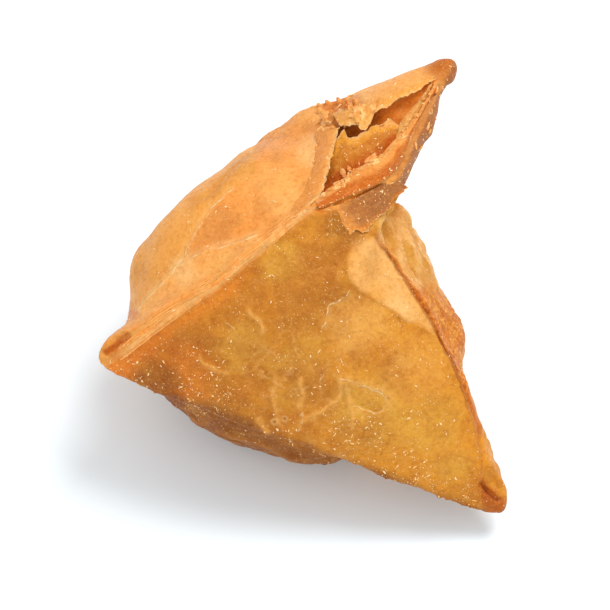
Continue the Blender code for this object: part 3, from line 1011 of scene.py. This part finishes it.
def crumbTree(material):
    seeds = crumbShape["seeds"]
    tree = Grower("scattered crumbs", Where="String", PerSquareCentimetre="Float", Size="Float", Faces="Int",
                  Dents="Float", Seed="Int")
    given = tree.given
    marked = tree.add("GeometryNodeInputNamedAttribute", 0, {"Name": given["Where"]})
    density = tree.times(tree.times(given["PerSquareCentimetre"], 1e4), marked)
    points = tree.add("GeometryNodeDistributePointsOnFaces", "Points",
                      {"Mesh": given["Geometry"], "Density": density, "Seed": given["Seed"]})
    chip = tree.add("GeometryNodeMeshIcoSphere", 0, {"Radius": 1.0, "Subdivisions": given["Faces"]})

    def randomVector(kind):
        low, high = crumbShape[kind]
        return tree.add("FunctionNodeRandomValue", 0, {0: low, 1: high, "Seed": seeds[kind]},
                        data_type="FLOAT_VECTOR")

    turn = tree.add("FunctionNodeEulerToRotation", 0, {0: randomVector("turn")})
    turned = tree.add("FunctionNodeRotateRotation", 0, {0: points.node.outputs["Rotation"], 1: turn},
                      rotation_space="LOCAL")
    luck = tree.add("FunctionNodeRandomValue", 1, {2: 0.0, 3: 1.0, "Seed": seeds["size"]})
    smallest, larger = crumbShape["sizes"]
    size = tree.maths("MULTIPLY_ADD", tree.maths("POWER", luck, crumbShape["fewLarge"]), larger, smallest)
    size = tree.times(size, given["Size"])
    scale = tree.add("ShaderNodeVectorMath", 0, {0: randomVector("stretch"), "Scale": size},
                     operation="SCALE")
    chips = tree.add("GeometryNodeInstanceOnPoints", 0,
                     {"Points": points, "Instance": chip, "Rotation": turned, "Scale": scale})
    whole = tree.add("GeometryNodeRealizeInstances", 0, {"Geometry": chips})
    dents = tree.add("ShaderNodeTexNoise", "Color",
                     {"Vector": tree.add("GeometryNodeInputPosition"), "Scale": crumbShape["dentScale"]})
    centred = tree.add("ShaderNodeVectorMath", 0, {0: dents, 1: (0.5, 0.5, 0.5)}, operation="SUBTRACT")
    push = tree.add("ShaderNodeVectorMath", 0, {0: centred, "Scale": given["Dents"]}, operation="SCALE")
    tree.end(tree.add("GeometryNodeSetPosition", 0, {"Geometry": whole, "Offset": push}), material)
    return tree


def ribTree(material):
    tree = Grower("layer edges", Thickness="Float", Breaks="Float", Grain="Float")
    given = tree.given
    lines = tree.add("GeometryNodeMeshToCurve", 0, {"Mesh": given["Geometry"]})
    place = tree.add("GeometryNodeInputPosition")
    noise = tree.add("ShaderNodeTexNoise", "Fac", {"Vector": place, "Scale": given["Grain"], "Detail": 3.0})
    broken = tree.add("ShaderNodeMapRange", 0, {
        "Value": noise, "From Min": given["Breaks"], "From Max": 0.72, "To Min": 0.02, "To Max": 1.35})
    scale = tree.times(broken, given["Thickness"])
    ring = tree.add("GeometryNodeCurvePrimitiveCircle", 0, {"Resolution": 6, "Radius": 1.0})
    swept = tree.add("GeometryNodeCurveToMesh", 0, {"Curve": lines, "Profile Curve": ring, "Scale": scale,
                                                    "Fill Caps": True})
    tree.end(swept, material)
    return tree


def onCrust(skin, uv, sink, seed, wander):
    # the points of a line over the front, laid on the crust
    places = np.c_[uv, np.full(len(uv), farFront)]
    places[:, :2] += wander * np.c_[lumps(places, 1.1, seed), lumps(places, 1.1, seed + 1)]
    laid = []
    for place in toWorld(places):
        hit = skin.ray_cast(Vector(place), inward)[0]
        if hit:
            laid.append(Vector(hit) + inward.normalized() * sink / 1000)
    return laid


def linesMesh(name, lines):
    places = []
    edges = []
    for line in lines:
        edges += [(len(places) + k, len(places) + k + 1) for k in range(len(line) - 1)]
        places += line
    mesh = bpy.data.meshes.new(name)
    mesh.from_pydata(places, edges, [])
    return mesh


seam = {
    "strands": 8,
    "spacing": 0.3,  # mm between a strand's points
    "sink": 0.11,
    "wander": 0.10,
    "levelWander": (0.05, 9.0, 71),  # share, size in mm and seed
    "seed": 72,
    "ribs": {"Thickness": 0.00018, "Breaks": 0.30, "Grain": 130.0},
}


def buildSeam(skin, material):
    # the edges of the folded layers, side by side along the seam
    count = int(runLength(seamLines["low"]) / seam["spacing"])
    low = evenCurve(seamLines["low"], count)
    high = evenCurve(seamLines["high"], count)
    share, size, seed = seam["levelWander"]
    lines = []
    for k in range(seam["strands"]):
        level = np.full(count, k / (seam["strands"] - 1))
        along = np.c_[np.linspace(0, 60, count), np.full(count, 7.0 * k), np.zeros(count)]
        level += share * lumps(along, size, seed)
        first = int(count * (0.02 + 0.05 * ((k * 5) % 4)))
        last = int(count * (1 - 0.04 * ((k * 3) % 4)))
        uv = (low * (1 - level[:, None]) + high * level[:, None])[first:last]
        lines.append(onCrust(skin, uv, seam["sink"], seam["seed"] + k, seam["wander"]))
    return ribTree(material).grow("seam_layers", linesMesh("seam_layers", lines), seam["ribs"])


# Loose bits on the crust: fine pale crumbs, and chunkier bits where it has crumbled, sizes in m
crumbKinds = {
    "crumbs": {"Where": "crumbs", "PerSquareCentimetre": 170.0, "Size": 0.00018, "Faces": 1,
               "Dents": 0.00006, "Seed": 6},
    "chunks": {"Where": "chunks", "PerSquareCentimetre": 260.0, "Size": 0.00040, "Faces": 2,
               "Dents": 0.0007, "Seed": 9},
}


def finishMesh(name, whole, material):
    # the body in the bmesh as an object of its own
    mesh = bpy.data.meshes.new(name)
    whole.to_mesh(mesh)
    whole.free()
    mesh.materials.append(material)
    return newObject(name, mesh)


def smoothShade(mesh):
    for polygon in mesh.polygons:
        polygon.use_smooth = True


def buildCrumbs(name, bases, material):
    tree = crumbTree(material)
    whole = bmesh.new()
    for base in bases:
        bit = tree.grow(name + "_on_" + base.name, base.data.copy(), crumbKinds[name])
        whole.from_mesh(bit.data)
        bpy.data.objects.remove(bit)
    made = finishMesh(name, whole, material)
    smoothShade(made.data)
    return made


# Torn leaves of crust about the top horn's mouth. Rows run side by side, each from foot to tip;
# rag is how ragged the first and the last row are, in mm, and lift keeps the leaf off the crust.
leaves = {
    "peeled_leaf": {
        "rows": (
            ((-1.6, 17.6, 24.4), (0.2, 20.9, 20.6), (2.2, 24.0, 18.9), (3.8, 27.5, 16.7), (4.8, 31.1, 13.9),
             (5.4, 34.6, 10.9), (5.2, 37.5, 8.6), (5.8, 39.0, 7.4)),
            ((0.4, 18.6, 24.8), (2.9, 21.8, 22.2), (4.6, 24.6, 21.0), (5.9, 27.7, 19.4), (6.7, 30.8, 17.6),
             (7.2, 34.2, 14.6), (7.5, 37.6, 12.2), (8.2, 40.0, 10.4)),
            ((2.6, 19.6, 25.2), (5.2, 22.2, 24.2), (7.2, 24.9, 22.8), (8.0, 27.5, 21.2), (8.7, 30.2, 19.6),
             (9.2, 32.8, 17.8), (10.0, 36.0, 15.8), (10.9, 39.2, 14.2)),
        ),
        "rag": (0.2, 0.7), "ends": (0.5, 2.2), "thickness": 0.5, "lift": (0.0, 0.55),
        "tones": ("peach", "peach", "peach", "paleLayer"), "rims": (0, 1, 0, 1), "sunk": (0.0, 0.12)},
    "inner_leaf": {
        "rows": (
            ((6.4, 23.4, 18.4), (10.0, 25.6, 18.6), (13.6, 28.0, 18.4), (17.4, 30.0, 18.0),
             (20.4, 31.9, 17.4), (23.4, 35.0, 16.6), (25.6, 37.8, 15.6)),
            ((7.4, 28.6, 17.8), (10.0, 30.2, 18.5), (12.8, 31.8, 18.6), (15.8, 33.5, 18.1),
             (18.6, 35.2, 17.4), (21.8, 37.2, 16.5), (24.2, 38.6, 15.4)),
            ((8.8, 34.6, 15.6), (11.2, 38.2, 14.8), (12.4, 36.8, 16.0), (14.2, 37.3, 16.2),
             (16.6, 38.7, 15.9), (19.8, 39.9, 15.5), (22.3, 40.8, 15.2), (23.6, 39.4, 14.8)),
        ),
        "rag": (0.0, 1.1), "ends": (0.0, 0.0), "thickness": 0.5, "lift": None,
        # its tones deepen to dark orange towards the trough by the lip: painted shade
        "tones": ("deepOrange", "leafDeep", "leafGold", "leafGold", "gold", "roof"), "rims": (0, 1, 0, 1)},
    "inner_strip": {
        "rows": (
            ((22.8, 35.8, 19.4), (25.0, 38.2, 18.4), (26.8, 40.4, 17.2), (28.6, 43.2, 15.9),
             (31.4, 48.4, 13.4)),
            ((23.4, 37.6, 16.6), (25.0, 39.6, 16.0), (26.8, 42.0, 15.2), (28.4, 44.2, 14.5),
             (31.1, 48.6, 13.0)),
            ((23.6, 39.4, 14.8), (24.6, 40.7, 14.6), (26.3, 42.8, 14.0), (28.1, 44.8, 13.6),
             (30.8, 48.8, 12.8)),
        ),
        "rag": (0.5, 0.5), "ends": (0.2, 0.0), "thickness": 0.5, "lift": None,
        "tones": ("peach", "paleLayer", "peach"), "chunky": 0.35, "rims": (0, 1, 0, 0)},
    "roof_leaf": {
        "rows": (
            ((8.6, 42.0, 6.8), (12.6, 43.2, 10.4), (16.8, 44.4, 12.9), (20.6, 46.2, 13.2),
             (24.8, 47.8, 13.0), (28.6, 49.2, 12.8), (31.8, 50.4, 12.3)),
            ((9.6, 40.4, 10.2), (13.2, 41.2, 13.2), (16.8, 42.4, 14.4), (19.8, 44.4, 14.4),
             (23.4, 46.0, 14.0), (27.4, 47.6, 13.5), (31.4, 49.7, 12.7)),
            ((10.6, 38.6, 12.8), (12.9, 38.6, 14.8), (14.8, 38.9, 15.6), (15.4, 37.9, 16.0),
             (16.7, 38.0, 16.2), (17.5, 39.2, 16.0), (17.9, 41.0, 15.7), (19.1, 42.0, 15.4),
             (20.9, 42.4, 15.3), (22.6, 43.8, 14.9), (26.2, 45.5, 14.3), (30.7, 48.5, 13.3)),
        ),
        "rag": (0.2, 1.1), "ends": (0.6, 0.0), "thickness": 0.5, "lift": (0.05, 0.3),
        "tones": ("roof", "peachYellow", "paleLayer"), "rims": (0, 1, 0.6, 0)},
    "lip_band": {
        "rows": (
            ((4.6, 22.6, 22.6), (8.0, 24.7, 21.8), (10.2, 26.5, 22.4), (12.9, 28.7, 22.9),
             (15.1, 30.0, 23.1), (17.6, 31.4, 23.2), (20.6, 33.2, 22.4), (23.2, 36.0, 20.9),
             (25.6, 38.8, 19.2), (28.0, 42.4, 17.3), (31.6, 48.2, 13.7)),
            ((5.2, 21.4, 24.9), (9.0, 23.8, 25.3), (13.6, 26.4, 25.6), (17.6, 28.8, 25.4),
             (21.2, 31.2, 24.4), (24.2, 34.6, 22.4), (26.4, 38.0, 20.2), (28.6, 41.8, 18.0),
             (32.1, 48.0, 14.0)),
            ((5.8, 20.2, 26.9), (10.7, 22.4, 27.3), (14.2, 23.8, 26.6), (17.3, 25.2, 25.8),
             (20.4, 26.7, 24.4), (22.6, 28.6, 23.0), (24.2, 31.4, 21.9), (25.6, 34.6, 20.6),
             (27.0, 38.0, 19.0), (28.9, 41.7, 16.9), (32.7, 47.8, 13.4)),
        ),
        "rag": (0.9, 0.12), "ends": (0.5, 0.0), "thickness": 0.9, "lift": (0.2, 0.3),
        "tones": ("roof", "peach", "deepOrange", "deepOrange"), "chunky": 1.0, "rims": (0.8, 0.25, 0, 0)},
    "seam_flap": {
        "rows": (
            ((3.0, 17.8, 27.3), (7.1, 20.4, 27.4), (10.7, 21.5, 27.0), (14.2, 22.9, 26.2),
             (17.3, 24.5, 25.1), (20.4, 26.0, 23.8), (24.0, 27.0, 21.0)),
            ((5.6, 15.4, 27.5), (9.2, 17.0, 27.4), (12.6, 18.2, 26.8), (15.8, 19.6, 26.0),
             (18.8, 21.6, 24.8), (21.6, 24.0, 22.9), (24.8, 25.9, 20.2)),
            ((8.6, 12.6, 27.4), (11.6, 12.5, 27.1), (12.7, 13.8, 26.8), (14.2, 15.5, 26.4),
             (15.7, 15.0, 26.0), (17.0, 15.2, 25.4), (17.6, 16.4, 25.0), (19.0, 17.9, 24.3),
             (20.9, 19.3, 23.2), (22.3, 21.0, 22.6), (22.8, 22.4, 22.2), (23.8, 23.3, 21.4),
             (26.0, 25.2, 18.8)),
        ),
        "rag": (0.1, 0.8), "ends": (0.2, 0.3), "thickness": 0.5, "lift": (0.0, 0.5),
        "tones": ("pink", "pink", "pink", "orange"), "startTone": "peach", "rims": (0, 1, 0, 1),
        "sunk": (0.02, 0.34)},
}
leafSpacing = 0.22  # mm between a leaf's points
# Raggedness of a leaf's sides and of its ends, and its ripples: share or height, size in mm, seed
leafWaves = {
    "sides": ((0.5, 2.4, 0), (0.5, 0.9, 5), (0.55, 0.5, 8)),
    "ends": ((0.6, 2.0, 11), (0.4, 0.8, 15)),
    "ripples": ((0.22, 3.0, 0), (0.10, 1.2, 1), (0.05, 0.6, 2)),
}


def leafWave(name, points, seed):
    return sum(share * lumps(points, size, seed + step) for share, size, step in leafWaves[name])


def loft(rows, along, across):
    # a grid over smooth curves through the rows, then through those
    curves = np.stack([evenCurve(row, along) for row in rows])
    return np.stack([evenCurve(curves[:, k], across) for k in range(along)])


def gridNormals(grid):
    down = np.gradient(grid, axis=0)
    over = np.gradient(grid, axis=1)
    normals = np.cross(down, over)
    normals /= np.linalg.norm(normals, axis=2, keepdims=True) + 1e-9
    return -normals if normals[..., 2].mean() < 0 else normals


def resampled(grid, shares):
    # each line of the grid read again between its two shares
    across = grid.shape[1]
    made = np.empty_like(grid)
    old = np.linspace(0, 1, across)
    for k, (low, high) in enumerate(shares):
        targets = low + (high - low) * old
        for axis in range(3):
            made[k, :, axis] = np.interp(targets, old, grid[k, :, axis])
    return made


def tear(grid, depths, axis, kind, seed):
    # draws in both ends of every line of the grid, raggedly, by up to depths in mm
    count = len(grid)
    length = np.linalg.norm(np.diff(grid, axis=1), axis=2).sum(axis=1)
    track = np.zeros((count, 3))
    track[:, axis] = np.linspace(0, count * leafSpacing, count)
    first, last = (0.5 + 0.5 * leafWave(kind, track, seed + k) for k in (1, 2))
    shares = np.stack((depths[0] * first / length, 1 - depths[1] * last / length), 1)
    return resampled(grid, np.clip(shares, 0, 1))


def leafGrid(leaf, skin, seed):
    # the leaf's upper side: torn along its edges, laid on the crust and rippled
    rows = leaf["rows"]
    along = max(8, int(runLength(rows[len(rows) // 2]) / leafSpacing))
    across = max(6, int(runLength([row[len(row) // 2] for row in rows]) / leafSpacing))
    grid = tear(loft(rows, along, across), leaf["rag"], 0, "sides", seed)
    grid = tear(grid.transpose(1, 0, 2), leaf["ends"], 1, "ends", seed).transpose(1, 0, 2)
    if leaf["lift"]:
        under = skinHeight(skin, grid.reshape(-1, 3)).reshape(along, across)
        grid[..., 2] = np.maximum(grid[..., 2], under + np.linspace(*leaf["lift"], across)[None, :])
        if "sunk" in leaf:  # the foot goes under the crust
            grid[..., 2] -= 1.0 * (1 - ease(np.linspace(0, 1, along)[:, None], *leaf["sunk"]))
    normals = gridNormals(grid)
    ripple = leafWave("ripples", grid.reshape(-1, 3), seed).reshape(along, across)
    return grid + normals * ripple[..., None], normals


def leafTones(leaf, points, start, spread, below, seed):
    colours = np.tile(tones[leaf["tones"][0]], (len(points), 1))
    steps = len(leaf["tones"]) - 1
    for k, tone in enumerate(leaf["tones"][1:]):
        colours = mixTone(colours, tone, ease(spread, (k + 0.1) / steps, (k + 0.95) / steps))
    if "startTone" in leaf:
        first = 1 - ease(start + 0.12 * lumps(points, 2.5, seed + 21), 0.2, 0.5)
        colours = mixTone(colours, leaf["startTone"], first)
    # the under side painted redder and darker: painted shade
    return mixTone(colours, "red", 0.6 * below)


def buildLeaf(name, leaf, skin, material, seed):
    grid, normals = leafGrid(leaf, skin, seed)
    along, across = grid.shape[:2]
    s, t = np.meshgrid(np.linspace(0, 1, along), np.linspace(0, 1, across), indexing="ij")
    edges = np.stack((t * across, (1 - t) * across, s * along, (1 - s) * along)) * leafSpacing
    rim = edges.min(axis=0)
    thickness = leaf["thickness"] * (0.25 + 0.75 * ease(rim, 0, 1.2))
    under = grid - normals * thickness[..., None]
    made = shellBetween(name, grid, under)
    mesh = made.data
    smoothShade(mesh)
    # the marks of the upper and the under side's points, one after the other
    points = np.vstack((grid.reshape(-1, 3), under.reshape(-1, 3)))
    start, spread, rims = (np.tile(values.ravel(), 2) for values in (s, t, rim))
    spread = spread + 0.18 * lumps(points, 3.0, seed + 20)
    below = np.repeat((0.0, 1.0), along * across)
    writeTone(mesh, leafTones(leaf, points, start, spread, below, seed))
    writeMark(mesh, "mottle", np.full(len(points), 0.35))
    writeMark(mesh, "fry", np.full(len(points), 0.15))
    writeMark(mesh, "crumbs", (1 - below) * (0.3 + 0.7 * (1 - ease(rims, 0.2, 1.2))))
    chunky = leaf.get("chunky", 0) * (1 - below) * (1 - ease(spread, 0.08, 0.42))
    writeMark(mesh, "chunks", chunky + 0.25 * (1 - below) * (1 - ease(rims, 0.1, 0.5)))
    way = np.stack((s * along, t * across, np.zeros((along, across))), 2).reshape(-1, 3) * leafSpacing
    writeFlow(mesh, np.vstack((way, way)) * (0.10, 0.8, 1))
    writeMark(mesh, "grain", np.full(len(points), 0.10))
    shown = np.array(leaf["rims"])[np.argmin(edges, axis=0)].ravel()
    writeEdge(mesh, "rim", rims, np.r_[shown, 0.5 * shown])
    mesh.materials.append(material)
    print(name + ":", len(mesh.polygons), "faces")
    return made


def skinHeight(skin, case):
    # how high the crust stands under each point, or very low where it isn't there
    starts = toWorld(np.c_[case[:, :2], np.full(len(case), farFront)])
    found = np.full(len(case), -99.0)
    for k, start in enumerate(starts):
        hit = skin.ray_cast(Vector(start), inward)[0]
        if hit:
            found[k] = toCase(np.array(hit))[2]
    return found


# Small torn sheets of crust along the crumbled ridge and the lip, in mm
shards = {
    "ridge": {"line": ((5.6, 39.2), (7.2, 41.4), (10.0, 42.4), (13.4, 42.8), (17.2, 43.6)),
              "count": 44, "spread": 1.8, "length": (1.6, 3.6), "width": (0.9, 2.0), "tilt": (0.0, 0.55)},
    "lip": {"line": ((11.4, 27.8), (14.6, 29.9), (17.6, 31.6), (20.8, 34.0), (23.2, 36.6)),
            "count": 34, "spread": 0.6, "length": (1.0, 2.4), "width": (0.7, 1.4), "tilt": (0.0, 0.5)},
    "points": (10, 7),  # along and across a sheet
    "thickness": 0.2,
    "lift": 0.12,
    "lumps": (0.12, 0.8, 82),  # height, size and seed
    "steepest": 4.0,  # no sheet where the crust under it rises more than this
    "seed": 81,
}


def shardSheet(group, centre, skins, draw):
    # one sheet's upper side in the case's frame, or None where the crust is missing or too steep
    rows, columns = shards["points"]
    s, t = np.meshgrid(np.linspace(-0.5, 0.5, rows), np.linspace(-0.5, 0.5, columns), indexing="ij")
    turn = draw.uniform(0, 2 * pi)
    length = draw.uniform(*group["length"])
    width = draw.uniform(*group["width"])
    tilt = draw.uniform(*group["tilt"])
    centre = centre + draw.normal(0, group["spread"] / 2, 2)
    ragged = 1 + 0.35 * draw.uniform(-1, 1, rows)[:, None]
    across = t * width * (1 - 1.6 * s * s) * ragged
    along = s * length * (1 + 0.2 * draw.uniform(-1, 1, columns)[None, :])
    u = centre[0] + along * cos(turn) - across * sin(turn)
    v = centre[1] + along * sin(turn) + across * cos(turn)
    flat = np.stack((u, v, np.zeros(u.shape)), 2)
    found = np.max([skinHeight(skin, flat.reshape(-1, 3)) for skin in skins], axis=0).reshape(u.shape)
    if found.min() < -90 or found.max() - found.min() > shards["steepest"]:
        return None
    height, size, seed = shards["lumps"]
    level = 0.6 * found + 0.4 * found.mean()
    flat[..., 2] = (level + shards["lift"] + tilt * (across + width / 2)
                    + height * lumps(flat.reshape(-1, 3), size, seed).reshape(u.shape))
    edge = np.minimum(0.5 - np.abs(s), 0.5 - np.abs(t))
    thickness = shards["thickness"] * (0.4 + 0.6 * ease(edge, 0, 0.25))
    return flat, flat - thickness[..., None] * (0, 0, 1)


def buildShards(skins, material):
    draw = np.random.default_rng(shards["seed"])
    whole = bmesh.new()
    for kind in ("ridge", "lip"):
        group = shards[kind]
        for centre in evenCurve(group["line"], group["count"]):
            sheet = shardSheet(group, centre, skins, draw)
            if sheet:
                shard = shellBetween("shard", *sheet)
                whole.from_mesh(shard.data)
                bpy.data.objects.remove(shard)
    made = finishMesh("shards", whole, material)
    print("shards:", len(made.data.polygons), "faces")
    return made


stage = {
    "floorSize": 4.0,
    "floorColour": (0.86, 0.93, 0.97, 1),
    "floorGrain": (3.0, 2),  # scale per metre and detail
    "skyStrength": 0.78,
    "lights": (("key", 7.2, 0.50, (0.38, 0.32, 0.92)), ("fill", 4.0, 0.6, (-0.55, -0.95, 0.75))),
    "lightsAim": (0, 0, 0.03),
    "lens": 300.0,
    "sensor": 36.0,
    "frameWidth": 135.4,  # mm across the picture, at the front panel's middle
    "aim": (2.9, -0.7, 12.0),
}


def buildStage():
    bpy.ops.mesh.primitive_plane_add(size=stage["floorSize"], location=(0, 0, 0))
    floor = bpy.context.object
    floor.name = "floor"
    coat = Coat("pale floor")
    tint = coat.noise(coat.add("ShaderNodeTexCoord", "Object"), *stage["floorGrain"])
    dimmer = tuple(c * 0.995 for c in stage["floorColour"][:3]) + (1,)
    floor.data.materials.append(coat.dress({
        "Base Color": coat.blend(tint, stage["floorColour"], dimmer),
        "Roughness": 0.9,
        "Specular IOR Level": 0.1,
    }))
    world = bpy.data.worlds.new("soft white")
    world.use_nodes = True
    sky = world.node_tree.nodes["Background"]
    sky.inputs["Color"].default_value = (1, 1, 1, 1)
    sky.inputs["Strength"].default_value = stage["skyStrength"]
    bpy.context.scene.world = world
    for name, power, size, place in stage["lights"]:
        light = bpy.data.lights.new(name, "AREA")
        light.energy = power
        light.size = size
        lamp = newObject(name, light)
        lamp.location = place
        away = Vector(stage["lightsAim"]) - Vector(place)
        lamp.rotation_euler = away.to_track_quat("-Z", "Y").to_euler()


def buildCamera():
    camera = bpy.data.cameras.new("camera")
    camera.lens = stage["lens"]
    camera.sensor_width = stage["sensor"]
    camera.clip_end = 10
    eye = newObject("camera", camera)
    distance = stage["lens"] / stage["sensor"] * stage["frameWidth"]
    eye.location = toWorld(np.array(stage["aim"]) + (0, 0, distance))
    eye.rotation_euler = (radians(90) - lean, 0, 0)
    bpy.context.scene.camera = eye
    bpy.context.scene.view_settings.view_transform = "Standard"


def skinOf(obj):
    return BVHTree.FromObject(obj, bpy.context.evaluated_depsgraph_get())


crustPiece = buildCrust()
crustFinish = crustMaterial()
crustPiece.data.materials.clear()
crustPiece.data.materials.append(crustFinish)
crustSkin = skinOf(crustPiece)
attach(crustPiece, "root")
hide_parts("samosa")

strandFinish = crumbMaterial("layer edges", (0.90, 0.43, 0.12, 1), (0.80, 0.30, 0.055, 1))
crumbFinish = crumbMaterial("pale crumb", (0.97, 0.74, 0.42, 1), (0.85, 0.46, 0.14, 1), 0.35)
chunkFinish = crumbMaterial("crumbled crust", (0.90, 0.50, 0.17, 1), (0.72, 0.26, 0.04, 1))
leafPieces = [buildLeaf(leafName, leaf, crustSkin, crustFinish, 200 + 30 * number)
              for number, (leafName, leaf) in enumerate(leaves.items())]
pieces = leafPieces + [
    buildSeam(crustSkin, strandFinish),
    buildCrumbs("crumbs", [crustPiece, *leafPieces], crumbFinish),
    buildCrumbs("chunks", [crustPiece, *leafPieces], chunkFinish),
    buildShards([crustSkin, *(skinOf(leafPiece) for leafPiece in leafPieces)], chunkFinish),
]
for piece in pieces:
    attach(piece, "root")

buildStage()
buildCamera()
